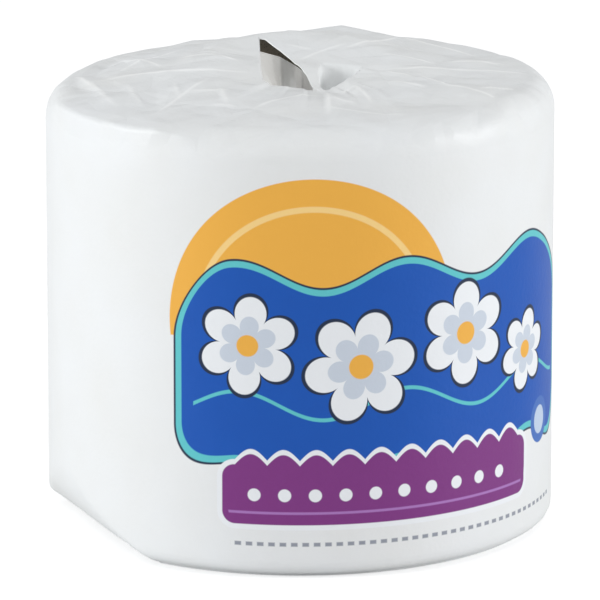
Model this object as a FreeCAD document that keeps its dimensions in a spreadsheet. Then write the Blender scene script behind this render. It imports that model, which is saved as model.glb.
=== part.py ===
"""A toilet roll in its paper wrapper, standing on one end.

Three pieces: a spiral-wound cardboard core, the tissue wound on it, and the wrapper. The wrapper
is one sheet of paper, rolled round the tissue, lapped and glued at the back, gathered in pleats
over both ends and tucked into the core. One lower edge of the roll is crushed to a slanting flat.

Millimetres, +Z up. The origin is the middle of the face that the roll stands on, and the
printed front of the wrapper faces -Y.
"""

import FreeCAD, Part
import Sketcher
import math
import os
import random

SIZES = {
    "tissue_width": 104.0,
    "tissue_radius": 59.0,
    "end_slope": 2.2,
    "top_edge_radius": 6.5,
    "low_edge_radius": 3.0,
    "core_radius": 20.5,
    "core_wall": 0.5,
    "core_fit": 0.05,
    "core_stand": 6.8,
    "stand_azimuth": 112.0,
    "ply_seam_width": 1.2,
    "ply_seam_depth": 0.15,
    "ply_seam_pitch": 78.0,
    "crush_height": 18.0,
    "crush_radius": 20.0,
    "crush_azimuth": 202.0,
    "paper_thickness": 0.3,
    "paper_gap": 0.35,
    "base_stack": 1.0,
    "lap_width": 16.0,
    "lap_azimuth": 82.0,
    "lap_rise": 2.4,
    "pleat_count": 26,
    "pleat_rise": 1.6,
    "pleat_depth": 3.6,
    "crumple": 0.5,
    "mouth_radius": 13.5,
    "mouth_shift": 2.5,
    "mouth_azimuth": 330.0,
    "low_mouth_radius": 15.0,
    "tuck_depth": 24.0,
    "front_rise": 0.3,
    "collar_slack": 0.2,
    "collar_width": 1.5,
    "collar_reach": 26.0,
    "flap_azimuth": 48.0,
    "flap_width": 112.0,
    "flap_reach": 8.0,
    "slot_azimuth": 113.0,
    "slot_width": 20.0,
    "slot_tuck": 1.0,
}


def make_sheet(doc):
    """Writes the driving dimensions into the document's spreadsheet."""
    sheet = doc.addObject("Spreadsheet::Sheet", "Sizes")
    for row, (name, value) in enumerate(SIZES.items(), start=1):
        sheet.set(f"A{row}", name)
        sheet.set(f"B{row}", str(value))
        sheet.setAlias(f"B{row}", name)
    doc.recompute()
    return sheet


def origin_plane(body, role):
    return next(f for f in body.Origin.OriginFeatures if f.Role == role)


def outline_sketch(body, name, role, corners, sizes):
    """A closed outline of straight lines on one of the body's origin planes.

    corners are rough places, which the named distances in sizes then set:
    {name: (direction, corner, expression)}, each measured from the sketch's origin.
    """
    sketch = body.newObject("Sketcher::SketchObject", name)
    sketch.AttachmentSupport = [(origin_plane(body, role), "")]
    sketch.MapMode = "FlatFace"
    count = len(corners)
    points = [FreeCAD.Vector(x, y, 0) for x, y in corners]
    for k in range(count):
        sketch.addGeometry(Part.LineSegment(points[k], points[(k + 1) % count]), False)
    for k in range(count):
        sketch.addConstraint(Sketcher.Constraint("Coincident", k, 2, (k + 1) % count, 1))
        if abs(points[k].y - points[(k + 1) % count].y) < 1e-6:
            sketch.addConstraint(Sketcher.Constraint("Horizontal", k))
        elif abs(points[k].x - points[(k + 1) % count].x) < 1e-6:
            sketch.addConstraint(Sketcher.Constraint("Vertical", k))
    for label, (direction, corner, expression) in sizes.items():
        value = corners[corner][0] if direction == "DistanceX" else corners[corner][1]
        index = sketch.addConstraint(Sketcher.Constraint(direction, -1, 1, corner, 1, value))
        sketch.renameConstraint(index, label)
        sketch.setExpression(f"Constraints.{label}", expression)
    return sketch


def end_cut(body, low, high):
    """Cuts the end off a body along a slanted plane.

    low and high are expressions: the plane's heights two tissue radii to the left and to the right.
    """
    side, top, drop = 2 * SIZES["tissue_radius"], SIZES["tissue_width"], SIZES["end_slope"]
    above = top + SIZES["tissue_radius"]
    corners = [(-side, top - drop), (side, top + drop), (side, above), (-side, above)]
    plane = outline_sketch(
        body,
        f"{body.Name}EndLine",
        "XZ_Plane",
        corners,
        {
            "left": ("DistanceX", 0, "-2 * Sizes.tissue_radius"),
            "low": ("DistanceY", 0, low),
            "right": ("DistanceX", 1, "2 * Sizes.tissue_radius"),
            "high": ("DistanceY", 1, high),
            "above": ("DistanceY", 2, "Sizes.tissue_width + Sizes.tissue_radius"),
        },
    )
    cut = body.newObject("PartDesign::Pocket", f"{body.Name}EndCut")
    cut.Profile = plane
    cut.Type = 1
    cut.Midplane = True
    return cut, plane


def core_tube(doc, sheet):
    """The cardboard tube, wound in a spiral whose seam is a shallow groove inside.

    Its upper end is out of square, so that one side of the rim stands out of the roll.
    """
    body = doc.addObject("PartDesign::Body", "CoreTube")
    body.Label = "core_tube"
    inner = SIZES["core_radius"] - SIZES["core_wall"]
    outer = SIZES["core_radius"]
    top = SIZES["tissue_width"] + SIZES["core_stand"]
    wall = outline_sketch(
        body,
        "CoreWall",
        "XZ_Plane",
        [(inner, 0), (outer, 0), (outer, top), (inner, top)],
        {
            "inside": ("DistanceX", 0, "Sizes.core_radius - Sizes.core_wall"),
            "outside": ("DistanceX", 1, "Sizes.core_radius"),
            "length": ("DistanceY", 2, "Sizes.tissue_width + Sizes.core_stand"),
        },
    )
    wall.addConstraint(Sketcher.Constraint("PointOnObject", 0, 1, -1))
    tube = body.newObject("PartDesign::Revolution", "CoreRevolution")
    tube.Profile = wall
    tube.ReferenceAxis = (wall, ["V_Axis"])
    tube.Angle = 360
    doc.recompute()
    rise = SIZES["ply_seam_width"]
    gap = outline_sketch(
        body,
        "SeamSection",
        "XZ_Plane",
        [(inner - 0.3, 0), (inner + 0.1, 0), (inner + 0.1, rise), (inner - 0.3, rise)],
        {
            "clear": ("DistanceX", 0, "Sizes.core_radius - Sizes.core_wall - 2 * Sizes.ply_seam_depth"),
            "depth": ("DistanceX", 1, "Sizes.core_radius - Sizes.core_wall + Sizes.ply_seam_depth"),
            "width": ("DistanceY", 2, "Sizes.ply_seam_width"),
        },
    )
    gap.addConstraint(Sketcher.Constraint("PointOnObject", 0, 1, -1))
    seam = body.newObject("PartDesign::SubtractiveHelix", "SpiralSeam")
    seam.Profile = gap
    seam.ReferenceAxis = (gap, ["V_Axis"])
    seam.Mode = 0
    seam.setExpression("Pitch", "Sizes.ply_seam_pitch")
    seam.setExpression("Height", "Sizes.tissue_width - Sizes.ply_seam_width")
    doc.recompute()
    middle = "Sizes.tissue_width - Sizes.end_slope / 2 + Sizes.core_stand / 2"
    reach = "Sizes.core_stand * Sizes.tissue_radius / Sizes.core_radius"
    cut, plane = end_cut(body, f"{middle} - {reach}", f"{middle} + {reach}")
    turn = FreeCAD.Rotation(FreeCAD.Vector(0, 1, 0), SIZES["stand_azimuth"])
    plane.AttachmentOffset = FreeCAD.Placement(FreeCAD.Vector(), turn)
    plane.setExpression("AttachmentOffset.Rotation.Angle", "Sizes.stand_azimuth")
    doc.recompute()
    body.setExpression("Placement.Base.z", "Sizes.base_stack")
    return body


def tissue_roll(doc, sheet):
    """The wound tissue: soft outer edges, and one lower edge crushed to a slanting flat."""
    body = doc.addObject("PartDesign::Body", "TissueRoll")
    body.Label = "tissue_roll"
    inner = SIZES["core_radius"] + SIZES["core_fit"]
    outer = SIZES["tissue_radius"]
    top = SIZES["tissue_width"] + SIZES["end_slope"]
    half = outline_sketch(
        body,
        "WoundSection",
        "XZ_Plane",
        [(inner, 0), (outer, 0), (outer, top), (inner, top)],
        {
            "inside": ("DistanceX", 0, "Sizes.core_radius + Sizes.core_fit"),
            "outside": ("DistanceX", 1, "Sizes.tissue_radius"),
            "width": ("DistanceY", 2, "Sizes.tissue_width + Sizes.end_slope"),
        },
    )
    half.addConstraint(Sketcher.Constraint("PointOnObject", 0, 1, -1))
    wound = body.newObject("PartDesign::Revolution", "Wound")
    wound.Profile = half
    wound.ReferenceAxis = (half, ["V_Axis"])
    wound.Angle = 360
    doc.recompute()
    left = "Sizes.tissue_width - 1.5 * Sizes.end_slope"
    right = "Sizes.tissue_width + 0.5 * Sizes.end_slope"
    soft, _ = end_cut(body, left, right)
    doc.recompute()
    for name, lowest, highest, size in (
        ("TopEdge", top / 2, top, "top_edge_radius"),
        ("LowEdge", -1, 1, "low_edge_radius"),
    ):
        rim = [
            f"Edge{k}"
            for k, edge in enumerate(soft.Shape.Edges, start=1)
            if all(
                abs(math.hypot(p.x, p.y) - outer) < 1e-3 and lowest < p.z < highest
                for p in edge.discretize(9)
            )
        ]
        fillet = body.newObject("PartDesign::Fillet", name)
        fillet.Base = (soft, rim)
        fillet.setExpression("Radius", f"Sizes.{size}")
        doc.recompute()
        soft = fillet
    crush = body.newObject("PartDesign::Pocket", "CrushedEdge")
    crush.Profile = crush_sketch(body)
    crush.Type = 1
    crush.Midplane = True
    doc.recompute()
    body.setExpression("Placement.Base.z", "Sizes.base_stack")
    return body


def crush_sketch(body):
    """What the crushed edge has lost, seen along the edge: outside a round that starts on the side."""
    sketch = body.newObject("Sketcher::SketchObject", "CrushSection")
    sketch.AttachmentSupport = [(origin_plane(body, "XZ_Plane"), "")]
    sketch.MapMode = "FlatFace"
    outer, height, radius = SIZES["tissue_radius"], SIZES["crush_height"], SIZES["crush_radius"]
    centre = FreeCAD.Vector(outer - radius, height, 0)
    low = -math.asin(height / radius)
    toe = FreeCAD.Vector(centre.x + radius * math.cos(low), 0, 0)
    side = FreeCAD.Vector(outer, height, 0)
    far = FreeCAD.Vector(outer + radius, height, 0)
    corner = FreeCAD.Vector(outer + radius, 0, 0)
    round_off = Part.ArcOfCircle(Part.Circle(centre, FreeCAD.Vector(0, 0, 1), radius), low, 0)
    sketch.addGeometry(round_off, False)
    sketch.addGeometry(Part.LineSegment(side, far), False)
    sketch.addGeometry(Part.LineSegment(far, corner), False)
    sketch.addGeometry(Part.LineSegment(corner, toe), False)
    sketch.addConstraint(Sketcher.Constraint("Coincident", 0, 2, 1, 1))
    sketch.addConstraint(Sketcher.Constraint("Coincident", 1, 2, 2, 1))
    sketch.addConstraint(Sketcher.Constraint("Coincident", 2, 2, 3, 1))
    sketch.addConstraint(Sketcher.Constraint("Coincident", 3, 2, 0, 1))
    sketch.addConstraint(Sketcher.Constraint("Horizontal", 1))
    sketch.addConstraint(Sketcher.Constraint("Vertical", 2))
    sketch.addConstraint(Sketcher.Constraint("Horizontal", 3))
    sketch.addConstraint(Sketcher.Constraint("PointOnObject", 0, 1, -1))
    for label, constraint, expression in (
        ("radius", Sketcher.Constraint("Radius", 0, radius), "Sizes.crush_radius"),
        ("side", Sketcher.Constraint("DistanceX", -1, 1, 0, 2, outer), "Sizes.tissue_radius"),
        ("rise", Sketcher.Constraint("DistanceY", -1, 1, 0, 2, height), "Sizes.crush_height"),
        (
            "centre",
            Sketcher.Constraint("DistanceY", -1, 1, 0, 3, height),
            "Sizes.crush_height",
        ),
        (
            "reach",
            Sketcher.Constraint("DistanceX", -1, 1, 2, 1, outer + radius),
            "Sizes.tissue_radius + Sizes.crush_radius",
        ),
    ):
        index = sketch.addConstraint(constraint)
        sketch.renameConstraint(index, label)
        sketch.setExpression(f"Constraints.{label}", expression)
    turn = FreeCAD.Rotation(FreeCAD.Vector(0, 1, 0), SIZES["crush_azimuth"])
    sketch.AttachmentOffset = FreeCAD.Placement(FreeCAD.Vector(), turn)
    sketch.setExpression("AttachmentOffset.Rotation.Angle", "Sizes.crush_azimuth")
    return sketch


def smooth(low, high, value):
    """0 below low, 1 above high, and a soft step between."""
    share = min(1.0, max(0.0, (value - low) / (high - low)))
    return share * share * (3 - 2 * share)


def turn_between(a, b):
    """The angle from b to a, between minus and plus half a turn."""
    return math.remainder(a - b, 2 * math.pi)


class Wrapper:
    """The paper sheet as one section after another round the axis, lofted into one folded wall."""

    def __init__(self, sheet):
        for name in SIZES:
            setattr(self, name, float(sheet.get(name)))
        self.radius = self.tissue_radius + self.paper_gap
        self.bend = self.top_edge_radius + self.paper_gap
        self.low_bend = self.low_edge_radius + self.paper_gap
        self.under = self.base_stack - self.paper_gap
        self.bore = self.core_radius - self.core_wall - self.paper_gap
        self.crests = {"top": self.pleats(5), "bottom": self.pleats(11)}

    def pleats(self, seed):
        """Azimuths and height shares of the pleats: each rises slowly to a crest, then drops."""
        draw = random.Random(seed)
        count = int(self.pleat_count)
        widths = [draw.uniform(0.6, 1.4) for _ in range(count)]
        unit = 2 * math.pi / sum(widths)
        table, azimuth = [], 0.0
        for width in widths:
            height = draw.uniform(0.45, 1.0)
            for along, share in ((0.0, 0.0), (0.5, 0.6), (0.8, 1.0)):
                table.append((azimuth + along * width * unit, share * height))
            azimuth += width * unit
        return table

    def crest(self, end, azimuth):
        """How much of a pleat's full height stands at this azimuth, by straight lines."""
        table = self.crests[end]
        azimuth %= 2 * math.pi
        closing = table + [(2 * math.pi, table[0][1])]
        for (a, low), (b, high) in zip(closing, closing[1:]):
            if a <= azimuth <= b:
                return low + (high - low) * (azimuth - a) / (b - a)
        return 0.0

    def stations(self):
        """The azimuths of all sections: each pleat's own, and the lap's two edges."""
        step = self.lap_width / self.radius / 2
        lap = math.radians(self.lap_azimuth)
        hair = self.paper_thickness / self.radius / 4
        edges = [lap - step - hair, lap - step, lap + step, lap + 1.6 * step]
        pleats = [a for a, _ in self.crests["top"]]
        clear = [a for a in pleats if min(abs(a - edge) for edge in edges) > 4 * hair]
        return sorted(clear + edges)

    def lapped(self, azimuth):
        """1 where two layers lie on each other, 0 where there is one."""
        step = self.lap_width / self.radius / 2
        away = turn_between(azimuth, math.radians(self.lap_azimuth))
        if away < -step - 1e-9:
            return 0.0
        return 1.0 - smooth(step, 1.6 * step, away)

    def wrinkle(self, azimuth, radius):
        """Small sharp creases, from -1 to 1."""

        def crease(x):
            return 2 * abs(math.remainder(x, 2.0)) - 1

        return 0.6 * crease(5 * azimuth + radius / 9) + 0.4 * crease(8.5 * azimuth - radius / 6)

    def top(self, radius, azimuth):
        """The height of the paper where it lies flat on the roll's upper end."""
        slope = self.end_slope / (2 * self.tissue_radius)
        fall = slope * (self.tissue_radius - radius * math.cos(azimuth))
        return self.base_stack + self.tissue_width + self.paper_gap - fall

    def collar(self, radius, azimuth):
        """How far the paper stands above the roll's end, over the core's rim and across the mouth."""
        lean = math.cos(azimuth - math.radians(self.stand_azimuth)) * min(1.0, radius / self.core_radius)
        full = self.front_rise + (self.core_stand + self.collar_slack) * (0.5 + 0.5 * lean)
        beyond = max(0.0, radius - self.core_radius - self.collar_width)
        return full * max(0.0, 1 - beyond / self.collar_reach)

    def slot(self, azimuth):
        """1 where the sheet ends at the core's rim and leaves the core's wall bare, 0 elsewhere."""
        away = abs(turn_between(azimuth, math.radians(self.slot_azimuth)))
        half = math.radians(self.slot_width) / 2
        return 1 - smooth(0.6 * half, 1.3 * half, away)

    def top_lip(self, azimuth, crest):
        """The mouth's radius: a round shifted off the axis, a flap over its back and the bare slot."""
        lip = self.mouth_radius - 0.5 * self.pleat_depth * crest
        lip += self.mouth_shift * math.cos(azimuth - math.radians(self.mouth_azimuth))
        away = abs(turn_between(azimuth, math.radians(self.flap_azimuth)))
        lip -= self.flap_reach * (1 - smooth(0.7, 1.0, away / math.radians(self.flap_width / 2)))
        return lip + (self.bore - lip) * self.slot(azimuth)

    def tuck(self, end, azimuth, lip):
        """The free edge and the throat, from the end inside the core up to the lip (radius, drop)."""
        length = self.tuck_depth
        if end == "top":
            length += (self.slot_tuck - length) * self.slot(azimuth)
        fold = self.pleat_depth * self.crest(end, azimuth)
        path = []
        for share in (1.0, 0.62, 0.3):
            drop = share * length
            out = smooth(0.0, 0.75 * self.tuck_depth, drop)
            path.append((lip + (self.bore - fold - lip) * out, drop))
        return path

    def top_half(self, azimuth):
        """The paper's inner face from the tucked edge to the side wall, as (radius, height)."""
        crest = self.crest("top", azimuth)
        lip = self.top_lip(azimuth, crest)
        height = self.top(lip, azimuth) + self.collar(lip, azimuth)
        taut = 0.5 + 0.5 * math.cos(azimuth - math.radians(self.stand_azimuth))
        pleat = self.pleat_rise * crest * (1 - 0.7 * taut)
        crumple = self.crumple * (1 - 0.6 * taut)
        beside = abs(turn_between(azimuth, math.radians(self.lap_azimuth)))
        heap = self.lap_rise * max(0.0, 1 - self.radius * beside / self.lap_width)
        path = [(r, height - 1.2 - drop) for r, drop in self.tuck("top", azimuth, lip)]
        path.append((lip, height - 1.2))
        start, end = self.core_radius + self.collar_width, self.radius - self.bend
        for share, fullness in ((0.15, 0.2), (0.5, 0.6)):
            radius = lip + (start - lip) * share
            path.append((radius, self.top(radius, azimuth) + self.collar(radius, azimuth) + fullness * pleat))
        for share in (0.0, 0.22, 0.5, 0.78):
            radius = start + (end - start) * share
            lift = self.collar(radius, azimuth) + pleat * (1 - share) ** 0.8 + heap * share
            rough = crumple * (1 + self.wrinkle(azimuth, radius)) * (1 - share * share)
            path.append((radius, self.top(radius, azimuth) + lift + rough))
        shoulder = self.top(end, azimuth) - self.bend
        for degrees in (90, 60, 30, 0):
            a = math.radians(degrees)
            round_off = self.bend + 0.5 * self.crumple * crest * math.sin(2 * a) + heap * math.sin(a)
            path.append((end + round_off * math.cos(a), shoulder + round_off * math.sin(a)))
        return path

    def lower_edge(self, azimuth, rise):
        """The radius of the paper's inner face at this height above its own lowest flat."""
        arc = self.radius
        if rise < self.low_bend:
            arc += math.sqrt(max(0.0, self.low_bend**2 - (self.low_bend - rise) ** 2)) - self.low_bend
        away = math.cos(turn_between(azimuth, math.radians(self.crush_azimuth)))
        below = self.crush_height + self.paper_gap - rise
        if away < 0.05 or below < 0:
            return arc
        round_off = self.crush_radius + self.paper_gap
        reach = self.tissue_radius - self.crush_radius + math.sqrt(max(0.0, round_off**2 - below**2))
        return min(arc, reach / away)

    def crush_top(self, azimuth):
        """How high above the paper's lowest flat the crushed round reaches at this azimuth."""
        away = math.cos(turn_between(azimuth, math.radians(self.crush_azimuth)))
        reach = self.radius * away - (self.tissue_radius - self.crush_radius)
        round_off = self.crush_radius + self.paper_gap
        if reach < 0:
            return 0.0
        return self.crush_height + self.paper_gap - math.sqrt(max(0.0, round_off**2 - reach**2))

    def bottom_half(self, azimuth):
        """The inner face from the side wall to the lower tucked edge."""
        crest = self.crest("bottom", azimuth)
        tall = max(self.low_bend, self.crush_top(azimuth))
        path = []
        for degrees in (0, 15, 30, 45, 60, 75, 90):
            rise = tall * (1 - math.sin(math.radians(degrees)))
            path.append((self.lower_edge(azimuth, rise), self.under + rise))
        rim = path[-1][0]
        floor = self.paper_thickness * (1 + self.lapped(azimuth))
        path[-1] = (rim, floor + 0.35 * (self.under - floor))
        lip = self.low_mouth_radius - 0.5 * self.pleat_depth * crest
        path.append((rim - 1.0, floor))
        path.append((rim - 9.0, floor))
        for share in (0.4, 0.75):
            radius = rim - 9.0 + (lip + 5 - rim + 9.0) * share
            path.append((radius, floor + (self.under - floor) * 0.8 * crest * share))
        path.append((lip + 1.6, floor + (self.under - floor) * 0.5 * crest))
        path.append((lip, floor + 1.2))
        throat = [(r, floor + 1.2 + drop) for r, drop in self.tuck("bottom", azimuth, lip)]
        return path + throat[::-1]

    def section(self, azimuth):
        """The paper wall's outline in the half plane at this azimuth, all but its line on the floor."""
        inner = self.top_half(azimuth) + self.bottom_half(azimuth)
        thickness = self.paper_thickness * (1 + self.lapped(azimuth))
        outer = offset(inner, thickness)
        foot = next(k for k, (r, z) in enumerate(outer) if abs(z) < 1e-9)
        loop = outer[foot::-1] + inner + outer[:foot:-1]
        c, s = math.cos(azimuth), math.sin(azimuth)
        return [FreeCAD.Vector(r * c, r * s, z) for r, z in loop]

    def shape(self):
        """The ruled loft round all sections, closed underneath by the flat ring that it stands on."""
        sections = [self.section(a) for a in self.stations()]
        folded = Part.makeLoft([Part.makePolygon(s) for s in sections], False, True, True)
        rim = [s[0] for s in sections]
        hole = [s[-1] for s in reversed(sections)]
        ring = Part.Face([Part.makePolygon(edge + edge[:1]) for edge in (rim, hole)])
        wall = Part.Compound([folded, ring])
        wall.sewShape()
        solid = Part.Solid(wall.Shells[0])
        solid.fix(1e-6, 1e-6, 1e-6)
        return solid


def offset(path, distance):
    """The path moved to its left by distance, with mitred corners."""
    steps = []
    for (r0, z0), (r1, z1) in zip(path, path[1:]):
        length = math.hypot(r1 - r0, z1 - z0)
        steps.append((-(z1 - z0) / length, (r1 - r0) / length))
    moved = []
    for k, (r, z) in enumerate(path):
        before = steps[max(0, k - 1)]
        after = steps[min(k, len(steps) - 1)]
        nr, nz = before[0] + after[0], before[1] + after[1]
        scale = 2 * distance / max(nr * nr + nz * nz, 1.0)
        moved.append((r + nr * scale, z + nz * scale))
    return moved


def wrapper(doc, sheet):
    """The folded sheet."""
    paper = doc.addObject("Part::Feature", "Wrapper")
    paper.Label = "wrapper"
    paper.Shape = Wrapper(sheet).shape()
    return paper


def main():
    doc = FreeCAD.newDocument("toilet_roll_pack")
    sheet = make_sheet(doc)
    pieces = [core_tube(doc, sheet), tissue_roll(doc, sheet), wrapper(doc, sheet)]
    doc.recompute()
    for item in doc.Objects:
        if {"Invalid", "Error"} & set(item.State):
            raise SystemExit(f"{item.Label} did not build: {item.State}")
    os.makedirs("parts", exist_ok=True)
    for piece in pieces:
        shape = piece.Shape
        if shape.isNull() or not shape.isValid():
            raise SystemExit(f"{piece.Label} is not a valid solid")
        shape.exportStep(os.path.join("parts", f"{piece.Label}.step"))
        box = shape.BoundBox
        print(
            f"{piece.Label}: {len(shape.Solids)} solid, {len(shape.Faces)} faces, {shape.Volume:.0f} mm3, "
            f"x {box.XMin:.1f}..{box.XMax:.1f} y {box.YMin:.1f}..{box.YMax:.1f} z {box.ZMin:.2f}..{box.ZMax:.2f}"
        )


main()
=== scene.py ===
"""Looks of the wrapped toilet roll: the crumpled, pleated paper wrapper with its print, the core's
cardboard and the tissue, on a pale floor under soft light."""

import math

import bpy
import numpy as np
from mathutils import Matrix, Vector
from mathutils.geometry import delaunay_2d_cdt


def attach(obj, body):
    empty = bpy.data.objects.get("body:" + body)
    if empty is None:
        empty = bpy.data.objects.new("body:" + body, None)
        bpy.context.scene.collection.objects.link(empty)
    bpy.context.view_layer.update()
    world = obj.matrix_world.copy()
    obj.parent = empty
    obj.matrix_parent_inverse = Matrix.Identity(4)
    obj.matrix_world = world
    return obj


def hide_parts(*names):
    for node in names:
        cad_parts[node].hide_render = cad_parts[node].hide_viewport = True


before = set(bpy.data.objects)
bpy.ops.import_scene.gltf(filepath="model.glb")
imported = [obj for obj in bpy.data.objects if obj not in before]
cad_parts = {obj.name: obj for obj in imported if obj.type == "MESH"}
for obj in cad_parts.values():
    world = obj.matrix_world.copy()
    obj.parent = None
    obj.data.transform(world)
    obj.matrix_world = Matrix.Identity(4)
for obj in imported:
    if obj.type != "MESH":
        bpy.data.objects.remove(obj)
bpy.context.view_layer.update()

# Sizes of the CAD model that the paper follows, in millimetres and degrees.
RADIUS = 59.35
TOP_BEND, LOW_BEND = 6.85, 3.35
BASE, WIDTH, GAP, SLOPE = 1.0, 104.0, 0.35, 2.2
TISSUE_R = 59.0
STAND, STAND_AT, SLACK, FRONT_RISE = 6.8, 112.0, 0.2, 0.3
CORE_R, CORE_IN = 20.5, 20.0
COLLAR_R, COLLAR_REACH = 22.0, 26.0
CRUSH_H, CRUSH_R, CRUSH_AT = 18.0, 20.0, 202.0
LAP_AT, LAP_W, LAP_RISE = 79.0, 16.0, 2.4
LAP_STEP = 0.3
SKIN = 0.3
LOW_MOUTH = 15.0
FLOOR_GAP = 0.02
SHOULDER_R = RADIUS - TOP_BEND

# How finely the sheet is divided: points round, and rows from the upper tuck to the lower one.
AZIMUTHS = 600
TUCK_ROWS, MOUTH_ROWS, END_ROWS, SIDE_ROWS, LOW_ROWS, FOOT_ROWS = 11, 36, 46, 19, 16, 11
SHOULDER_ANGLES = (84, 76, 68, 60, 52, 45, 36, 27, 18, 9, 0)
LOW_TUCK_DROPS = (0.9, 3, 6, 10, 15, 20)


def smooth(low, high, x):
    t = np.clip((x - low) / (high - low), 0.0, 1.0)
    return t * t * (3 - 2 * t)


def turn(a, b):
    """Degrees from b to a, between minus and plus half a turn."""
    return (a - b + 180.0) % 360.0 - 180.0


class Facets:
    """Crumpled paper: random heights on scattered points, joined by flat triangles with sharp folds."""

    HALF, STEPS = 72.0, 960

    def __init__(self, count, seed):
        draw = np.random.default_rng(seed)
        points = draw.uniform(-self.HALF, self.HALF, (count, 2))
        beyond = 1.2 * self.HALF
        corners = [(i * beyond, j * beyond) for i in (-1, 0, 1) for j in (-1, 0, 1) if i or j]
        points = np.vstack([points, corners])
        verts, _, faces, _, _, _ = delaunay_2d_cdt([Vector(p) for p in points], [], [], 0, 1e-7)
        verts = np.array([tuple(v) for v in verts])
        heights = draw.uniform(-1, 1, len(verts))
        self.step = 2 * self.HALF / (self.STEPS - 1)
        self.field = np.zeros((self.STEPS, self.STEPS))
        for face in faces:
            (ax, ay), (bx, by), (cx, cy) = verts[list(face)]
            ha, hb, hc = heights[list(face)]
            whole = (bx - ax) * (cy - ay) - (cx - ax) * (by - ay)
            if abs(whole) < 1e-9:
                continue
            low_i, high_i = self._span(ax, bx, cx)
            low_j, high_j = self._span(ay, by, cy)
            x = (np.arange(low_i, high_i) * self.step - self.HALF)[:, None]
            y = (np.arange(low_j, high_j) * self.step - self.HALF)[None, :]
            wb = ((x - ax) * (cy - ay) - (cx - ax) * (y - ay)) / whole
            wc = ((bx - ax) * (y - ay) - (x - ax) * (by - ay)) / whole
            inside = (wb >= -1e-9) & (wc >= -1e-9) & (wb + wc <= 1 + 1e-9)
            part = self.field[low_i:high_i, low_j:high_j]
            part[inside] = (ha + wb * (hb - ha) + wc * (hc - ha))[inside]

    def _span(self, *values):
        low = int(math.floor((min(values) + self.HALF) / self.step))
        high = int(math.ceil((max(values) + self.HALF) / self.step)) + 1
        return max(low, 0), min(high, self.STEPS)

    def at(self, x, y):
        i = np.clip((x + self.HALF) / self.step, 0, self.STEPS - 1.001)
        j = np.clip((y + self.HALF) / self.step, 0, self.STEPS - 1.001)
        i0, j0 = i.astype(int), j.astype(int)
        fi, fj = i - i0, j - j0
        f = self.field
        return (
            f[i0, j0] * (1 - fi) * (1 - fj)
            + f[i0 + 1, j0] * fi * (1 - fj)
            + f[i0, j0 + 1] * (1 - fi) * fj
            + f[i0 + 1, j0 + 1] * fi * fj
        )


# Large, middling and small facets of the crumpled sheet.
BROAD = Facets(60, 21)
MIDDLE = Facets(330, 22)
FINE = Facets(1600, 23)


def crease(x, y, path, height, left, right):
    """A fold line along a path: a sharp crest that slopes off over its own width on either side."""
    path = np.array(path, float)
    steps = np.diff(path, axis=0)
    lengths = np.hypot(steps[:, 0], steps[:, 1])
    before = np.concatenate([[0], np.cumsum(lengths)])
    best = np.zeros_like(x)
    for k, (step, length) in enumerate(zip(steps, lengths)):
        dx, dy = x - path[k, 0], y - path[k, 1]
        along = np.clip((dx * step[0] + dy * step[1]) / length, 0, length)
        away = np.hypot(dx - step[0] * along / length, dy - step[1] * along / length)
        side = np.where(step[0] * dy - step[1] * dx > 0, left, right)
        share = (before[k] + along) / before[-1]
        ends = smooth(0, 0.3, share) * smooth(0, 0.3, 1 - share)
        best = np.maximum(best, ends * np.maximum(0, 1 - away / side))
    return height * best


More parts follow.
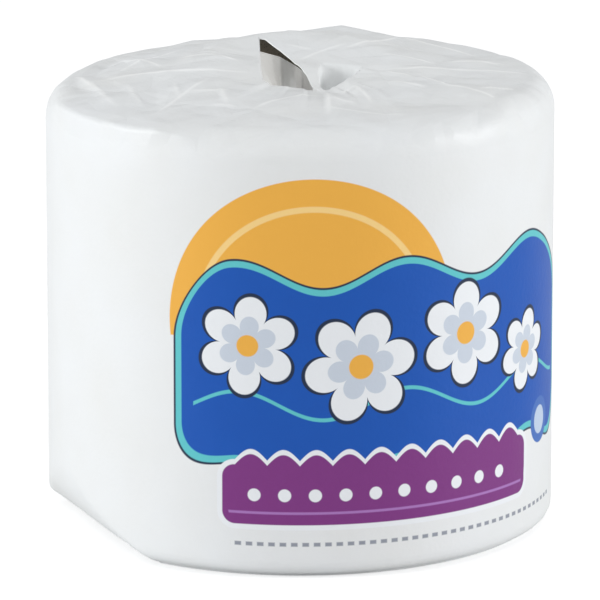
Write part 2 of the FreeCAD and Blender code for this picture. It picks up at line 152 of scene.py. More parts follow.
# Fold lines on the upper end, as the photograph shows them: path, height, width to the left, to the right.
CREASES = [
    ([(-40.4, -11.4), (-38.5, -22), (-35.8, -31.9)], 0.40, 1.0, 6.0),
    ([(-29.2, -14.4), (-27.9, -28.4)], 0.40, 1.0, 5.0),
    ([(-50, -5), (-28.4, -8.8), (-9, -9.5)], 0.95, 9.0, 4.5),
    ([(-46.0, 17.8), (-30.5, -4.1)], 0.6, 5.0, 6.0),
    ([(-30.8, 6.5), (-12.5, -2.9)], 0.7, 5.0, 4.0),
    ([(-26.5, -24.0), (-15.0, -24.8)], 0.40, 4.0, 1.4),
    ([(-18.4, -21.5), (-16.6, -35.2)], 0.45, 5.0, 1.4),
    ([(-21.0, -34.7), (-13.8, -36.2)], 0.35, 3.0, 1.2),
    ([(-54.6, 12.4), (-45.0, -21.8), (-40.9, -31.8)], 0.6, 5.0, 2.0),
    ([(-12.0, -41.1), (-4.0, -30), (6.0, -20.0)], 0.55, 6.0, 4.0),
    ([(7.0, 6.0), (17.2, 16.1), (30.5, 49.3)], 0.9, 9.0, 7.0),
    ([(17.8, 7.6), (32.6, 5.4)], 0.6, 5.0, 3.0),
    ([(20.2, -12.8), (30.1, -18.3)], 0.5, 4.0, 2.0),
    ([(18.0, -3.6), (26.8, -9.2)], 0.5, 4.0, 2.0),
    ([(27.3, -5.5), (35.5, -20.5)], 0.55, 1.2, 6.0),
    ([(30.7, -15.3), (50.0, -34.0)], 0.6, 7.0, 4.0),
    ([(12.4, -14.9), (16.8, -31.2)], 0.5, 1.4, 4.5),
    ([(9.3, -21.7), (13.7, -15.0)], 0.35, 1.6, 1.2),
    ([(5.1, -27.0), (13.8, -31.6)], 0.35, 3.0, 1.6),
    ([(6.5, -16.0), (6.6, -42.4)], 0.45, 4.0, 1.2),
    ([(32.5, 7.2), (50.4, 9.6)], 0.55, 6.0, 5.0),
    ([(38.9, -24.1), (58.8, -14.5)], 0.6, 6.0, 4.0),
    ([(16.4, -3.2), (58.6, 0.4)], 0.8, 9.0, 5.0),
    ([(-3.7, 12.7), (3.2, 8.4)], 0.3, 1.6, 2.6),
    ([(-1.0, 1.6), (11.6, 13.6)], 0.4, 4.0, 3.5),
    ([(-20, -12), (-34, -40)], 0.5, 8.0, 5.0),
    ([(2, -34), (26, -44)], 0.4, 5.0, 6.0),
    ([(20, 34), (44, 22)], 0.7, 8.0, 6.0),
    ([(-20, 34), (-42, 28)], 0.6, 7.0, 6.0),
    ([(-26, 18), (-44, -2)], 0.6, 7.0, 5.0),
]
# How far the painted highlight along a crest, a glow by emission, reaches on either side, in millimetres.
CREST_HIGHLIGHT_WIDTH = 0.75


def crest_highlight(x, y):
    """Nearly one along the crests of the higher fold lines, where the paper is given a painted highlight.
    """
    out = np.zeros_like(x)
    for path, rise, _, _ in CREASES:
        out = np.maximum(out, crease(x, y, path, min(1.0, rise * 1.6), CREST_HIGHLIGHT_WIDTH, CREST_HIGHLIGHT_WIDTH))
    return out


def top_plane(x):
    """The outer face of the flat paper on the upper end, which slants from one side to the other."""
    return BASE + WIDTH + GAP - SLOPE * (TISSUE_R - x) / (2 * TISSUE_R) + SKIN


def collar(x, y):
    """How far the paper stands above the roll's end, over the core's rim and across the mouth."""
    r = np.hypot(x, y)
    az = np.degrees(np.arctan2(y, x)) % 360
    # At the front lip the paper is pulled straight over the rim, with no slant towards the middle.
    front = smooth(205, 255, az) * smooth(358, 325, az) * smooth(7.0, 13.5, r)
    inward = np.minimum(1.0, r / CORE_R)
    inward = inward + (1 - inward) * front
    lean = np.cos(np.radians(az - STAND_AT)) * inward
    full = FRONT_RISE + (STAND + SLACK) * (0.5 + 0.5 * lean)
    return full * np.clip(1 - (r - COLLAR_R) / COLLAR_REACH, 0, 1)


# The open part of the mouth in plan: its straight left fold, the front lip and the flap's slanting edge.
HOLE_AT = (-3.5, -3.0)
HOLE = [
    (-9.5, 10.8), (-9.4, 5.5), (-9.2, 0.2), (-9.0, -6.3), (-8.5, -12.6), (-6.9, -15.4), (-4.6, -14.2),
    (-2.4, -13.4), (0.0, -14.2), (1.6, -14.6), (3.4, -15.2), (4.6, -15.6), (3.3, -12.8), (2.3, -10.0),
    (0.8, -5.3), (-0.7, -0.8), (-2.4, 3.7), (-4.6, 8.6), (-6.4, 12.0), (-8.2, 15.8), (-9.8, 16.4),
]
# Between these directions, by way of nought, the hole's edge is the flap's and hangs free.
FREE_FROM, FREE_TO = 306.0, 107.5
# Azimuths about the roll's axis, and those of the hole's edge points that they are joined to.
RAYS = (
    (0, 30, 85, 100, 109, 113.5, 119.5, 132, 165, 211, 250, 288, 291, 296, 322, 360),
    (10, 40, 81.5, 96, 100.3, 102.3, 106.4, 112.4, 150, 211, 251, 302, 304.3, 307.9, 330.7, 370),
)
# The shallow pit to the right of the flap's tongue, in plan.
PIT = [
    (5.0, 0.4), (9.4, 0.1), (11.7, -0.4), (14.2, -2.0), (17.0, -5.5), (16.2, -8.5), (12.3, -11.2),
    (9.3, -12.9), (6.6, -14.4), (5.7, -15.8), (5.0, -13.0), (4.4, -6.3),
]
PIT_DEPTH = 7.5
# How far inwards from each side of the pit its wall reaches the full depth.
PIT_RUNS = (7.0, 7.0, 7.0, 4.0, 1.6, 1.0, 1.0, 1.0, 1.0, 1.0, 1.0, 1.0)


def hole_radius(az):
    """The hole's edge as seen from its own middle."""
    corner = np.array(HOLE) - HOLE_AT
    angle = np.degrees(np.arctan2(corner[:, 1], corner[:, 0])) % 360
    order = np.argsort(angle)
    angle, corner = angle[order], corner[order]
    angle = np.concatenate([angle[-1:] - 360, angle, angle[:1] + 360])
    corner = np.vstack([corner[-1:], corner, corner[:1]])
    k = np.clip(np.searchsorted(angle, az, side="right") - 1, 0, len(angle) - 2)
    a, b = corner[k], corner[k + 1]
    ux, uy = np.cos(np.radians(az)), np.sin(np.radians(az))
    dx, dy = b[:, 0] - a[:, 0], b[:, 1] - a[:, 1]
    return (a[:, 0] * dy - a[:, 1] * dx) / (ux * dy - uy * dx)


def pit_depth(x, y):
    """How far the sheet sinks in the pit: a sloping back wall with folds, steep at the other sides."""
    inside = np.full_like(x, 1e3)
    for (ax, ay), (bx, by), run in zip(PIT, PIT[1:] + PIT[:1], PIT_RUNS):
        length = math.hypot(bx - ax, by - ay)
        gap = ((by - ay) * (x - ax) - (bx - ax) * (y - ay)) / length
        inside = np.minimum(inside, gap / run)
    folds = 0.9 + 0.3 * np.abs(np.sin((x - 5.0) * 0.56)) + 0.08 * np.sin(x * 2.1)
    return PIT_DEPTH * np.clip(inside, 0, 1) * folds


def pleat_wave(az, radius, seed, count):
    """Knife pleats: each rises slowly and drops sharply, and leans over as it runs outwards."""
    draw = np.random.default_rng(seed)
    widths = draw.uniform(0.55, 1.45, count)
    edges = np.concatenate([[0], np.cumsum(widths)]) / widths.sum() * 360.0
    sizes = draw.uniform(0.25, 1.0, count)
    reach = draw.uniform(20, 48, count)
    lean = draw.uniform(-0.10, 0.55, count)
    out = np.zeros_like(az)
    for k in range(count):
        middle = (edges[k] + edges[k + 1]) / 2
        width = edges[k + 1] - edges[k]
        swung = turn(az + lean[k] * (radius - 16), middle)
        phase = swung / width + 0.5
        inside = (phase >= 0) & (phase <= 1)
        wave = np.where(phase < 0.8, phase / 0.8, (1 - phase) / 0.2)
        fade = np.clip(1 - (radius - 14) / reach[k], 0, 1)
        out = np.maximum(out, np.where(inside, wave, 0) * sizes[k] * fade)
    return out


def relief(x, y):
    """Creases and facets of the crumpled end, above its plain surface."""
    r = np.hypot(x, y)
    az = np.degrees(np.arctan2(y, x)) % 360
    back = 0.5 + 0.5 * np.cos(np.radians(az - STAND_AT))
    calm = 1 - 0.65 * back * smooth(46, 26, r)
    calm = calm * (1 - 0.9 * np.exp(-((x + 8.9) ** 2 + (y - 16.5) ** 2) / 30))
    rim = smooth(RADIUS - 1, RADIUS - 12, r)
    height = 0.9 * pleat_wave(az, r, 5, 24) * smooth(9, 24, r)
    height += 0.95 * BROAD.at(x, y) + 0.4 * MIDDLE.at(x, y) + 0.12 * FINE.at(x, y) + 0.65
    for path, crest, left, right in CREASES:
        height += crease(x, y, path, crest, left, right)
    return np.maximum(height * calm * rim, 0.03) + 0.09 * MIDDLE.at(x * 0.9 + 3, y * 0.9 - 5) * (1 - rim)


def end_height(x, y):
    """The paper's outer face on the upper end, across the mouth too."""
    return top_plane(x) + collar(x, y) + relief(x, y) - pit_depth(x, y)


def heap(az):
    """Extra height where the lap's layers lie on each other at the back."""
    return LAP_RISE * np.maximum(0.0, 1 - np.abs(turn(az, LAP_AT)) * math.pi / 180 * RADIUS / LAP_W)


def crush_limit(az, z):
    """The radius that the crushed lower edge leaves, at this height above the floor."""
    away = np.cos(np.radians(az - CRUSH_AT))
    below = np.clip(CRUSH_H + BASE - z, 0, None)
    rounding = CRUSH_R + GAP + SKIN
    reach = TISSUE_R - CRUSH_R + np.sqrt(np.maximum(rounding**2 - below**2, 0))
    return np.where((away > 0.05) & (below > 0), reach / np.maximum(away, 0.05), 1e3)


def lap_step(az):
    """The outer layer of the lap: a sharp edge on one side, and none on the other."""
    half = math.degrees(LAP_W / RADIUS / 2)
    away = turn(az, LAP_AT)
    return np.where(away < -half, 0.0, 1 - smooth(half, 1.7 * half, away))


def outer_radius(az):
    """The paper's outer face on the side of the roll."""
    return RADIUS + SKIN + LAP_STEP * lap_step(az)


def shoulder_foot(az):
    """The height where the side ends and the shoulder begins."""
    return top_plane(SHOULDER_R * np.cos(np.radians(az))) - SKIN - TOP_BEND


def ring(az, r, z):
    """A row of points round the roll's axis."""
    a = np.radians(az)
    return r * np.cos(a), r * np.sin(a), z + 0 * az


def mouth_rows(az):
    """The tuck that hangs inside the core, up to the hole's edge, and the sheet across the mouth."""
    a = np.radians(az)
    ray = np.interp(az, RAYS[0], RAYS[1]) % 360
    reach = hole_radius(ray)
    edge_x = HOLE_AT[0] + reach * np.cos(np.radians(ray))
    edge_y = HOLE_AT[1] + reach * np.sin(np.radians(ray))
    edge_z = end_height(edge_x, edge_y)
    edge_r = np.hypot(edge_x, edge_y)
    free = np.where((ray > FREE_FROM) | (ray < FREE_TO), 1.0, 0.0)
    roll_over = 1 - 0.7 * free
    folds = pleat_wave(az, np.full_like(az, 14.0), 6, 34)
    wall = CORE_IN - 0.5 - 2.6 * folds
    length = (17.0 + 4.0 * np.sin(np.radians(az * 2 + 60)) + 2.0 * np.sin(np.radians(az * 7))) * (1 - free)
    length = length + 0.3 * free
    rows = []
    for share in np.linspace(1.0, 0.05, TUCK_ROWS):
        drop = share * length
        r = edge_r + (wall - edge_r) * smooth(0.0, 15.0, drop) * (1 - free)
        scale = np.minimum(r, CORE_IN - 0.4) / np.maximum(edge_r, 0.1)
        rows.append((edge_x * scale, edge_y * scale, edge_z - 0.25 * roll_over - drop))
    for share in np.linspace(0, 1, MOUTH_ROWS + 1)[:-1]:
        x = edge_x + (COLLAR_R * np.cos(a) - edge_x) * share
        y = edge_y + (COLLAR_R * np.sin(a) - edge_y) * share
        bend = 0.3 * roll_over * smooth(0.06, 0.0, np.full_like(az, share))
        rows.append((x, y, end_height(x, y) - bend))
    return rows


def end_rows(az):
    """The pleated and crumpled end, from over the core's rim to the shoulder."""
    a = np.radians(az)
    rows = []
    for share in np.linspace(0, 1, END_ROWS):
        r = COLLAR_R + (SHOULDER_R - COLLAR_R) * share
        rows.append(ring(az, r, end_height(r * np.cos(a), r * np.sin(a)) + heap(az) * share))
    return rows


def shoulder_rows(az):
    """The bend from the end to the side: round, with a sharp fold at the left of the front."""
    a = np.radians(az)
    foot = shoulder_foot(az)
    lift = relief(SHOULDER_R * np.cos(a), SHOULDER_R * np.sin(a))
    sharp = 0.9 * smooth(188, 204, az) * smooth(252, 236, az)
    waver = 0.04 * MIDDLE.at(az * 0.5 - 90, np.full_like(az, 12.0))
    rows = []
    for degrees in SHOULDER_ANGLES:
        t = math.radians(degrees)
        bend = TOP_BEND + SKIN + (lift + heap(az)) * math.sin(t) ** 2
        rough = 0.22 * MIDDLE.at(az * 0.33 - 60, np.full_like(az, degrees * 0.3)) * math.sin(t) ** 0.5
        if degrees > 45:
            part = (90 - degrees) / 45
            out, up = 0.92 * part, 1 - (0.13 - waver) * part
        else:
            part = degrees / 45
            out, up = 1 - 0.08 * part, (0.87 + waver) * part
        out = math.cos(t) * (1 - sharp) + out * sharp
        up = math.sin(t) * (1 - sharp) + up * sharp
        r = SHOULDER_R + (outer_radius(az) - RADIUS - SKIN) * (1 - math.sin(t)) + (bend + rough) * out
        rows.append(ring(az, r, foot + (bend + rough) * up))
    return rows


def side_rows(az):
    """The side, down to where the crushed edge begins, with slight waves in the paper."""
    u = turn(az, 270.0) * math.pi / 180 * RADIUS
    rows = []
    for share in np.linspace(0, 1, SIDE_ROWS + 1)[1:]:
        z = shoulder_foot(az) * (1 - share) + (CRUSH_H + BASE) * share
        waves = 0.10 * np.sin(u / 9 + z / 60) + 0.07 * np.sin(u / 4.3 - z / 90)
        rows.append(ring(az, outer_radius(az) + 0.5 * waves, z))
    return rows


def low_edge_rows(az):
    """Down to the floor, round the lower edge and over the crushed part."""
    outer = outer_radius(az)
    low = BASE - GAP
    rows = []
    for t in np.radians(np.linspace(0, 90, LOW_ROWS + 1)[1:]):
        z = np.full_like(az, max((CRUSH_H + BASE) * (1 - math.sin(t)), FLOOR_GAP))
        lift = np.clip(low + LOW_BEND - z, 0, LOW_BEND)
        arc = outer - LOW_BEND + np.sqrt(np.maximum(LOW_BEND**2 - lift**2, 0))
        crush = crush_limit(az, z)
        dent = smooth(0, 3, arc - crush) * 0.35 * MIDDLE.at(az * 0.5 - 100, z * 1.2)
        rows.append(ring(az, np.minimum(arc, crush) + dent - 0.35 * smooth(3, 0, z), z))
    return rows


def foot_rows(az):
    """Underneath: pleats that run in to the lower mouth, and the tuck that goes up into the core."""
    foot_r = np.minimum(outer_radius(az) - LOW_BEND, crush_limit(az, np.full_like(az, 0.3))) - 1.2
    under = pleat_wave(az, np.full_like(az, 14.0), 11, 28)
    rows = []
    for share in np.linspace(0, 1, FOOT_ROWS + 1)[1:]:
        r = foot_r + (LOW_MOUTH + 0.4 - foot_r) * share
        rows.append(ring(az, r, FLOOR_GAP + 0.5 * under * smooth(0.25, 1, np.full_like(az, share))))
    lip = LOW_MOUTH - 1.8 * under
    wall = CORE_IN - 0.5 - 3.0 * under
    for drop in LOW_TUCK_DROPS:
        rows.append(ring(az, lip + (wall - lip) * smooth(0, 14, np.full_like(az, drop)), drop + 0.2))
    return rows


def wrapper_grid():
    """All points of the sheet, in rows from the upper tucked edge to the lower one."""
    az = (np.arange(AZIMUTHS) + 0.5) * 360.0 / AZIMUTHS
    parts = (mouth_rows, end_rows, shoulder_rows, side_rows, low_edge_rows, foot_rows)
    return np.array([row for part in parts for row in part(az)])


def grid_mesh(name, points, closed, flip=False):
    """A mesh from rows of points, joined round when closed."""
    rows, cols = points.shape[:2]
    faces = []
    for i in range(rows - 1):
        for j in range(cols if closed else cols - 1):
            k = (j + 1) % cols
            quad = (i * cols + j, i * cols + k, (i + 1) * cols + k, (i + 1) * cols + j)
            faces.append(quad[::-1] if flip else quad)
    mesh = bpy.data.meshes.new(name)
    mesh.from_pydata((points.reshape(-1, 3) / 1000.0).tolist(), [], faces)
    mesh.shade_smooth()
    obj = bpy.data.objects.new(name, mesh)
    bpy.context.scene.collection.objects.link(obj)
    return obj


def add_wrap_place(obj):
    """Stores where each corner lies on the unrolled side: across from the front's middle, and height."""
    mesh = obj.data
    layer = mesh.uv_layers.new(name="Wrap")
    co = np.empty(len(mesh.vertices) * 3)
    mesh.vertices.foreach_get("co", co)
    co = co.reshape(-1, 3) * 1000.0
    angle = np.degrees(np.arctan2(co[:, 1], co[:, 0]))
    across = turn(angle, 270.0)
    loops = np.empty(len(mesh.loops), int)
    mesh.loops.foreach_get("vertex_index", loops)
    u = across[loops]
    starts = np.empty(len(mesh.polygons), int)
    totals = np.empty(len(mesh.polygons), int)
    mesh.polygons.foreach_get("loop_start", starts)
    mesh.polygons.foreach_get("loop_total", totals)
    for s, n in zip(starts, totals):
        part = u[s : s + n]
        if part.max() - part.min() > 180:
            u[s : s + n] = np.where(part < 0, part + 360, part)
    u = u * math.pi / 180 * RADIUS
    v = co[loops, 2]
    radial = np.hypot(co[loops, 0], co[loops, 1])
    v = np.where(v > 60, v + (RADIUS - radial) * smooth(1.0, 8.0, RADIUS - radial), v)
    layer.data.foreach_set("uv", np.stack([u, v], 1).ravel())


def set_painted_glow(obj, values):
    """Stores how strongly the sheet glows at each point: painted light standing in for daylight through
    the thin paper.
    """
    layer = obj.data.attributes.new("painted_glow", "FLOAT", "POINT")
    layer.data.foreach_set("value", np.asarray(values, float).ravel())


def make_sheet():
    """The wrapper itself, with a painted highlight glowing along the fold crests on the end and a painted
    glow in the tucked part.
    """
    rows = wrapper_grid()
    sheet = grid_mesh("paper_wrapper", np.transpose(rows, (0, 2, 1)), True, flip=True)
    add_wrap_place(sheet)
    # Painted light: emission along the fold crests, a faint glow over the tucked rows, and none below the
    # end.
    painted_glow = 0.16 * crest_highlight(rows[:, 0], rows[:, 1])
    painted_glow[:TUCK_ROWS] = 0.12
    painted_glow[TUCK_ROWS + MOUTH_ROWS + END_ROWS :] = 0
    set_painted_glow(sheet, painted_glow)
    return sheet


# The far lining of the mouth, by azimuth: the height of its free edge, how far its folds stand in from the
# core's wall for each millimetre down, and how strongly it glows, painted light standing in for daylight
# through the paper.
LINING_COLS, LINING_ROWS, LINING_DROP = 120, 24, 15.0
LINING_EDGE = (
    (66, 83, 92, 104, 114, 119, 135, 160, 205),
    (99.0, 101.2, 103.7, 106.2, 107.3, 107.9, 107.6, 105.5, 103.0),
)
LINING_FOLDS = (
    (66, 84, 88, 93, 97, 102, 106, 112, 120, 135, 205),
    (0.1, 0.1, 0.45, 0.55, 0.12, 0.1, 0.4, 0.8, 1.0, 0.8, 0.5),
)
LINING_PAINTED_GLOW = (
    (66, 84, 87, 88, 89, 92.6, 94.5, 100, 103, 104.5, 107, 109, 110, 118, 130, 205),
    (0.2, 0.2, 0.24, 0.1, 0.3, 0.28, 0.15, 0.14, 0.16, 0.34, 0.36, 0.36, 0.48, 0.5, 0.42, 0.3),
)


def make_lining():
    """The sheet tucked in from the left: it lies against the core's far wall, and its free edge shows."""
    az = np.linspace(LINING_EDGE[0][0], LINING_EDGE[0][-1], LINING_COLS)
    edge = np.interp(az, *LINING_EDGE)
    folds = np.interp(az, *LINING_FOLDS)
    angle = np.radians(az)
    points = []
    for drop in np.linspace(0, LINING_DROP, LINING_ROWS):
        r = CORE_IN - 0.35 - folds * drop * smooth(-2, 8, np.full_like(angle, drop))
        points.append(np.stack([r * np.cos(angle), r * np.sin(angle), edge - drop], 1))
    lining = grid_mesh("lining", np.array(points), False)
    add_wrap_place(lining)
    # The lining's painted glow by emission, by azimuth.
    set_painted_glow(lining, np.tile(np.interp(az, *LINING_PAINTED_GLOW), (LINING_ROWS, 1)))
    return lining


def make_wrapper():
    """The sheet and its lining as one piece."""
    sheet = make_sheet()
    lining = make_lining()
    for obj in bpy.context.selected_objects:
        obj.select_set(False)
    for obj in (lining, sheet):
        obj.select_set(True)
    bpy.context.view_layer.objects.active = sheet
    bpy.ops.object.join()
    return sheet


paper = make_wrapper()
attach(paper, "root")
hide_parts("wrapper")


class Field:
    """A number that varies over the surface, worked out by shader maths."""

    def __init__(self, tree, socket):
        self.tree, self.socket = tree, socket

    def op(self, kind, *others, flip=False):
        node = self.tree.nodes.new("ShaderNodeMath")
        node.operation = kind
        terms = [self, *others]
        if flip:
            terms.reverse()
        for slot, term in zip(node.inputs, terms):
            if isinstance(term, Field):
                self.tree.links.new(term.socket, slot)
            else:
                slot.default_value = term
        return Field(self.tree, node.outputs[0])

    def __add__(self, other):
        return self.op("ADD", other)

    def __sub__(self, other):
        return self.op("SUBTRACT", other)

    def __rsub__(self, other):
        return self.op("SUBTRACT", other, flip=True)

    def __mul__(self, other):
        return self.op("MULTIPLY", other)

    def low(self, other):
        return self.op("MINIMUM", other)

    def high(self, other):
        return self.op("MAXIMUM", other)


def new_material(name):
    mat = bpy.data.materials.new(name)
    mat.use_nodes = True
    tree = mat.node_tree
    return mat, tree, tree.nodes["Principled BSDF"]


def noise(tree, vector, scale, detail=2.0):
    node = tree.nodes.new("ShaderNodeTexNoise")
    node.inputs["Scale"].default_value = scale
    node.inputs["Detail"].default_value = detail
    tree.links.new(vector, node.inputs["Vector"])
    return Field(tree, node.outputs["Fac"])


def mask(field, soft=0.12):
    """One where the field is below zero, nought where it is above, with a soft edge in millimetres."""
    node = field.tree.nodes.new("ShaderNodeMapRange")
    node.inputs["From Min"].default_value = -soft
    node.inputs["From Max"].default_value = soft
    node.inputs["To Min"].default_value = 1.0
    node.inputs["To Max"].default_value = 0.0
    field.tree.links.new(field.socket, node.inputs["Value"])
    return Field(field.tree, node.outputs["Result"])


def linear(*rgb):
    """A screen colour, nought to 255, as Blender's own numbers."""
    return [((c / 255 + 0.055) / 1.055) ** 2.4 if c > 10 else c / 255 / 12.92 for c in rgb] + [1.0]


def paint(under, colour, cover):
    """Lays a colour over what is under it where the cover is one."""
    node = cover.tree.nodes.new("ShaderNodeMix")
    node.data_type = "RGBA"
    cover.tree.links.new(cover.socket, node.inputs["Factor"])
    for value, slot in ((under, node.inputs[6]), (colour, node.inputs[7])):
        if isinstance(value, list):
            slot.default_value = value
        else:
            cover.tree.links.new(value, slot)
    return node.outputs[2]


def wrap_place(tree):
    """Across from the front's middle and up from the floor, on the unrolled side, in millimetres."""
    node = tree.nodes.new("ShaderNodeUVMap")
    node.uv_map = "Wrap"
    split = tree.nodes.new("ShaderNodeSeparateXYZ")
    tree.links.new(node.outputs["UV"], split.inputs["Vector"])
    return Field(tree, split.outputs["X"]), Field(tree, split.outputs["Y"])


def disc(u, v, u0, v0, radius):
    """Below zero inside a circle."""
    du, dv = u - u0, v - v0
    return (du * du + dv * dv).op("SQRT") - radius


def panel_form(u, v, left, right, low, high, corner):
    """Below zero inside a rectangle with round corners."""
    du = (u - (left + right) / 2).op("ABSOLUTE") - ((right - left) / 2 - corner)
    dv = (v - (low + high) / 2).op("ABSOLUTE") - ((high - low) / 2 - corner)
    a, b = du.high(0.0), dv.high(0.0)
    return (a * a + b * b).op("SQRT") + du.high(dv).low(0.0) - corner


def blossom(u, v, u0, v0, radius, petals, start):
    """Below zero inside a flower with round petals."""
    du, dv = u - u0, v - v0
    angle = dv.op("ARCTAN2", du)
    wave = (angle * (petals / 2.0) + start).op("SINE").op("ABSOLUTE")
    return (du * du + dv * dv).op("SQRT") - (wave.op("POWER", 0.6) * (0.45 * radius) + 0.55 * radius)


AMBER = linear(243, 180, 72)
GOLD = linear(252, 214, 140)
BLUE = linear(4, 82, 178)
BLUE_GLEAM = linear(10, 96, 196)
TEAL = linear(96, 200, 205)
NAVY = linear(26, 44, 72)
PURPLE = linear(128, 52, 130)
LILAC = linear(172, 120, 190)
PALE = linear(240, 243, 246)
PETAL_SHADE = linear(205, 214, 226)
PERIWINKLE = linear(60, 110, 190)
RING_BLUE = linear(193, 210, 233)
GREY = linear(150, 155, 165)

# The print, in millimetres on the unrolled side.
SUN_AT, SUN_R, SUN_RING, SUN_CUT = (3.0, 60.0), 34.0, 27.0, 56.0
# Each flower: its place, radius, petals and turn.
FLOWERS = (
    (-12.0, 55.0, 11.5, 6, 0.3),
    (14.0, 50.0, 13.0, 6, 1.0),
    (41.0, 55.0, 12.0, 6, 0.1),
    (63.0, 47.0, 9.5, 6, 0.8),
)
BAND_TOP, BAND_MIDDLE, BAND_HALF = 27.0, 22.44, 37.4
SCALLOP_RISE, SCALLOP_TURN = 2.6, 0.42
DOT_PITCH, DOT_R, DOT_LINE = 7.0, 1.5, 20.0
RING_AT, RING_R, RING_HOLE = (72.0, 28.0), 5.5, 3.4
DASH_PITCH, DASH_HALF, DASH_LINE = 2.6, 0.75, 8.4


def print_sun(colour, u, v):
    """A rising half-disc with a paler ring, cut off where the panel covers it."""
    glow = disc(u, v, *SUN_AT, SUN_R).high(SUN_CUT - v)
    colour = paint(colour, AMBER, mask(glow))
    ring_line = disc(u, v, *SUN_AT, SUN_RING).op("ABSOLUTE") - 0.7
    return paint(colour, GOLD, mask(ring_line.high(SUN_CUT - v)))


def print_panel(colour, u, v, coords):
    """The blue panel with a waved upper edge, a teal rim, a navy line and white flowers."""
    sway = (u * 0.16 + 0.7).op("SINE") * 3.2
    blue = panel_form(u, v + sway, -28.0, 86.0, 26.0, 70.0, 12.0)
    colour = paint(colour, NAVY, mask(blue - 2.0))
    colour = paint(colour, TEAL, mask(blue - 1.5))
    colour = paint(colour, BLUE, mask(blue))
    shade = noise(u.tree, coords, 120.0)
    colour = paint(colour, BLUE_GLEAM, (mask(blue) * shade) * 0.35)
    streak = ((v + sway - 41.0).op("ABSOLUTE") - 0.45).high(blue + 3.0)
    colour = paint(colour, TEAL, mask(streak))
    for u0, v0, size, petals, start in FLOWERS:
        flower = blossom(u, v, u0, v0, size, petals, start)
        inner = blossom(u, v, u0, v0, size * 0.6, petals, start)
        colour = paint(colour, NAVY, mask(flower - 0.9))
        colour = paint(colour, PALE, mask(flower))
        colour = paint(colour, PETAL_SHADE, mask(inner))
        colour = paint(colour, AMBER, mask(disc(u, v, u0, v0, size * 0.22)))
    return colour


def print_band(colour, u, v):
    """The purple band below, scalloped on its upper edge, with a pale rim, dots and a thin line."""
    scallop = (u * SCALLOP_TURN).op("SINE").op("ABSOLUTE") * SCALLOP_RISE
    band = panel_form(u, v, -18.0, 63.0, 13.0, BAND_TOP, 3.0)
    crest = (v - scallop - BAND_TOP).high(22.0 - v)
    across = (u - BAND_MIDDLE).op("ABSOLUTE") - BAND_HALF
    purple = band.low(crest.high(across))
    colour = paint(colour, PALE, mask((band - 1.2).low((crest - 1.2).high(across))))
    colour = paint(colour, PURPLE, mask(purple))
    grid_u = (u * (1 / DOT_PITCH)).op("FRACT") * DOT_PITCH - DOT_PITCH / 2
    dots = (grid_u * grid_u + (v - DOT_LINE) * (v - DOT_LINE)).op("SQRT") - DOT_R
    colour = paint(colour, PALE, mask(dots.high((u - 21.0).op("ABSOLUTE") - 35.0)))
    thin = ((v - 15.8).op("ABSOLUTE") - 0.3).high(purple + 1.5)
    return paint(colour, LILAC, mask(thin))


def print_marks(colour, u, v):
    """A small ring to the right, and a row of dashes near the foot."""
    colour = paint(colour, PERIWINKLE, mask(disc(u, v, *RING_AT, RING_R)))
    colour = paint(colour, RING_BLUE, mask(disc(u, v, *RING_AT, RING_HOLE)))
    dash_u = (u * (1 / DASH_PITCH)).op("FRACT") * DASH_PITCH - DASH_PITCH / 2
    dashes = (dash_u.op("ABSOLUTE") - DASH_HALF).high((v - DASH_LINE).op("ABSOLUTE") - 0.45)
    dashes = dashes.high((u - 32.0).op("ABSOLUTE") - 48.0)
    return paint(colour, GREY, mask(dashes))


def crumple_bump(tree, shader, coords):
    """The paper's grain all over, and on the upper end the flat facets of crumpled paper."""
    split = tree.nodes.new("ShaderNodeSeparateXYZ")
    tree.links.new(coords, split.inputs["Vector"])
    top = (Field(tree, split.outputs["Z"]) * 1000.0 - 97.0) * (1 / 6.0)
    top = top.high(0.06).low(1.0)
    height = noise(tree, coords, 900.0, 3.0) * 0.05
    for scale, rise in ((52.0, 1.7), (120.0, 0.5)):
        folds = tree.nodes.new("ShaderNodeTexVoronoi")
        folds.feature = "DISTANCE_TO_EDGE"
        folds.inputs["Scale"].default_value = scale
        tree.links.new(coords, folds.inputs["Vector"])
        height = height + Field(tree, folds.outputs["Distance"]) * top * rise
    bump = tree.nodes.new("ShaderNodeBump")
    bump.inputs["Strength"].default_value = 1.0
    bump.inputs["Distance"].default_value = 0.001
    tree.links.new(height.socket, bump.inputs["Height"])
    tree.links.new(bump.outputs["Normal"], shader.inputs["Normal"])


def wrapper_material():
    """White paper with a slight sheen, the print, the crumple, and a painted glow by emission standing in
    for daylight through it.
    """
    mat, tree, shader = new_material("printed_paper")
    u, v = wrap_place(tree)
    coords = tree.nodes.new("ShaderNodeTexCoord").outputs["Object"]
    colour = paint(linear(239, 242, 244), linear(233, 234, 232), noise(tree, coords, 45.0))
    colour = print_sun(colour, u, v)
    colour = print_panel(colour, u, v, coords)
    colour = print_band(colour, u, v)
    colour = print_marks(colour, u, v)
    tree.links.new(colour, shader.inputs["Base Color"])
    # Painted light: the paper glows by emission inside the mouth and along the fold crests, in place of
    # daylight through the thin paper.
    painted_glow = tree.nodes.new("ShaderNodeAttribute")
    painted_glow.attribute_name = "painted_glow"
    shader.inputs["Emission Color"].default_value = linear(234, 232, 228)
    tree.links.new(painted_glow.outputs["Fac"], shader.inputs["Emission Strength"])
    shader.inputs["Roughness"].default_value = 0.42
    shader.inputs["Specular IOR Level"].default_value = 0.35
    crumple_bump(tree, shader, coords)
    return mat


# The pitch of the core's spiral seam, in metres.
PLY_PITCH = 0.078


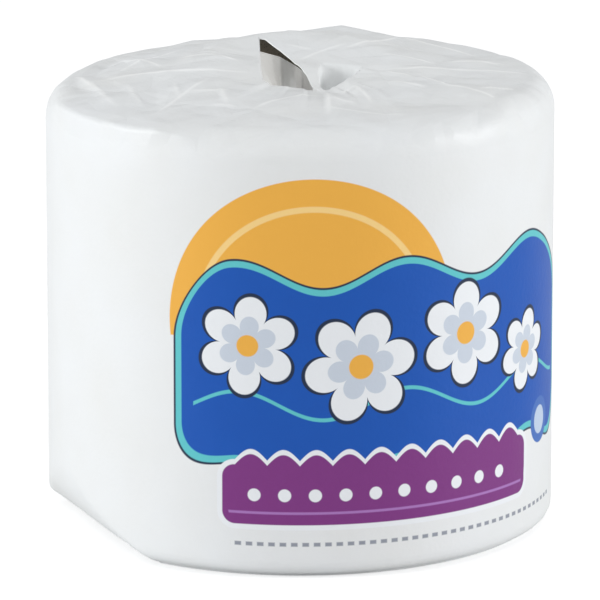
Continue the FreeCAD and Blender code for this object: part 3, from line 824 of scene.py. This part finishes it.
def board_material():
    """Grey-brown board with fibres, flecks and the spiral seam of its plies."""
    mat, tree, shader = new_material("core_board")
    coords = tree.nodes.new("ShaderNodeTexCoord").outputs["Object"]
    split = tree.nodes.new("ShaderNodeSeparateXYZ")
    tree.links.new(coords, split.inputs["Vector"])
    x, y, z = (Field(tree, split.outputs[k]) for k in "XYZ")
    turn_about = y.op("ARCTAN2", x) * (1 / (2 * math.pi))
    seam = ((turn_about + z * (1 / PLY_PITCH)).op("FRACT") - 0.5).op("ABSOLUTE") - 0.007
    fibres = noise(tree, coords, 700.0, 4.0)
    colour = paint(linear(118, 111, 98), linear(142, 134, 120), fibres)
    flecks = noise(tree, coords, 2600.0, 1.0)
    colour = paint(colour, linear(92, 86, 76), mask(0.63 - flecks, 0.03) * 0.7)
    colour = paint(colour, linear(84, 78, 68), mask(seam, 0.003) * 0.8)
    tree.links.new(colour, shader.inputs["Base Color"])
    shader.inputs["Roughness"].default_value = 0.85
    bump = tree.nodes.new("ShaderNodeBump")
    bump.inputs["Strength"].default_value = 0.25
    bump.inputs["Distance"].default_value = 0.0003
    tree.links.new(fibres.socket, bump.inputs["Height"])
    tree.links.new(bump.outputs["Normal"], shader.inputs["Normal"])
    return mat


def tissue_material():
    """Soft white tissue, with the edges of its turns as fine rings on the ends."""
    mat, tree, shader = new_material("wound_tissue")
    coords = tree.nodes.new("ShaderNodeTexCoord").outputs["Object"]
    split = tree.nodes.new("ShaderNodeSeparateXYZ")
    tree.links.new(coords, split.inputs["Vector"])
    x, y = (Field(tree, split.outputs[k]) for k in "XY")
    turns = ((x * x + y * y).op("SQRT") * 2200.0 + noise(tree, coords, 30.0) * 3.0).op("SINE")
    colour = paint(linear(238, 237, 233), linear(222, 220, 214), turns * 0.5 + 0.5)
    tree.links.new(colour, shader.inputs["Base Color"])
    shader.inputs["Roughness"].default_value = 0.95
    bump = tree.nodes.new("ShaderNodeBump")
    bump.inputs["Strength"].default_value = 0.4
    bump.inputs["Distance"].default_value = 0.0002
    tree.links.new((turns + noise(tree, coords, 1200.0)).socket, bump.inputs["Height"])
    tree.links.new(bump.outputs["Normal"], shader.inputs["Normal"])
    return mat


def dress(obj, mat):
    obj.data.materials.clear()
    obj.data.materials.append(mat)


dress(paper, wrapper_material())
dress(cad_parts["core_tube"], board_material())
dress(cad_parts["tissue_roll"], tissue_material())


def pale_floor():
    """A floor that shows white to the camera and keeps the object's shadow."""
    bpy.ops.mesh.primitive_plane_add(size=6.0, location=(0, 0, 0))
    plane = bpy.context.active_object
    plane.name = "floor"
    mat, tree, shader = new_material("pale_floor")
    shader.inputs["Base Color"].default_value = (0.8, 0.8, 0.8, 1)
    shader.inputs["Roughness"].default_value = 0.7
    shader.inputs["Specular IOR Level"].default_value = 0.1
    shader.inputs["Emission Color"].default_value = (1, 1, 1, 1)
    seen = Field(tree, tree.nodes.new("ShaderNodeLightPath").outputs["Is Camera Ray"])
    tree.links.new((seen * 0.45).socket, shader.inputs["Emission Strength"])
    dress(plane, mat)
    return plane


def backdrop(nodes, colour, strength):
    shader = nodes.new("ShaderNodeBackground")
    shader.inputs["Color"].default_value = colour
    shader.inputs["Strength"].default_value = strength
    return shader


def white_room():
    """Even light from all round, and white behind the object for the camera."""
    world = bpy.data.worlds.new("white_room")
    bpy.context.scene.world = world
    world.use_nodes = True
    nodes, links = world.node_tree.nodes, world.node_tree.links
    nodes.clear()
    light = backdrop(nodes, (0.985, 0.99, 1.0, 1), 0.645)
    white = backdrop(nodes, (1, 1, 1, 1), 1.0)
    path = nodes.new("ShaderNodeLightPath")
    either = nodes.new("ShaderNodeMixShader")
    out = nodes.new("ShaderNodeOutputWorld")
    links.new(path.outputs["Is Camera Ray"], either.inputs["Fac"])
    links.new(light.outputs["Background"], either.inputs[1])
    links.new(white.outputs["Background"], either.inputs[2])
    links.new(either.outputs["Shader"], out.inputs["Surface"])


def softbox(name, place, power, colour):
    """A round lamp that faces the middle of the roll."""
    data = bpy.data.lights.new(name, "AREA")
    data.shape = "DISK"
    data.size = 0.6
    data.energy = power
    data.color = colour
    obj = bpy.data.objects.new(name, data)
    obj.location = place
    obj.rotation_euler = (Vector((0, 0, 0.06)) - Vector(place)).to_track_quat("-Z", "Y").to_euler()
    bpy.context.scene.collection.objects.link(obj)


def front_camera(elevation, distance, aim, lens):
    """The camera stands in front, a little above, as in the photograph."""
    view = bpy.data.cameras.new("camera")
    view.lens = lens
    view.sensor_width = 36.0
    view.clip_end = 20.0
    camera = bpy.data.objects.new("camera", view)
    camera.location = aim + Vector((0, -math.cos(elevation), math.sin(elevation))) * distance
    camera.rotation_euler = (aim - camera.location).to_track_quat("-Z", "Y").to_euler()
    bpy.context.scene.collection.objects.link(camera)
    bpy.context.scene.camera = camera


floor = pale_floor()
white_room()
softbox("left_softbox", (-1.68, -0.5, 0.5), 14.2, (0.98, 0.992, 1.0))
softbox("right_softbox", (1.7, -0.36, 0.48), 12.4, (0.99, 0.995, 1.0))
front_camera(math.radians(13.7), 1.5, Vector((0, 0, 0.0515)), 381.0)
bpy.context.scene.view_settings.view_transform = "Standard"
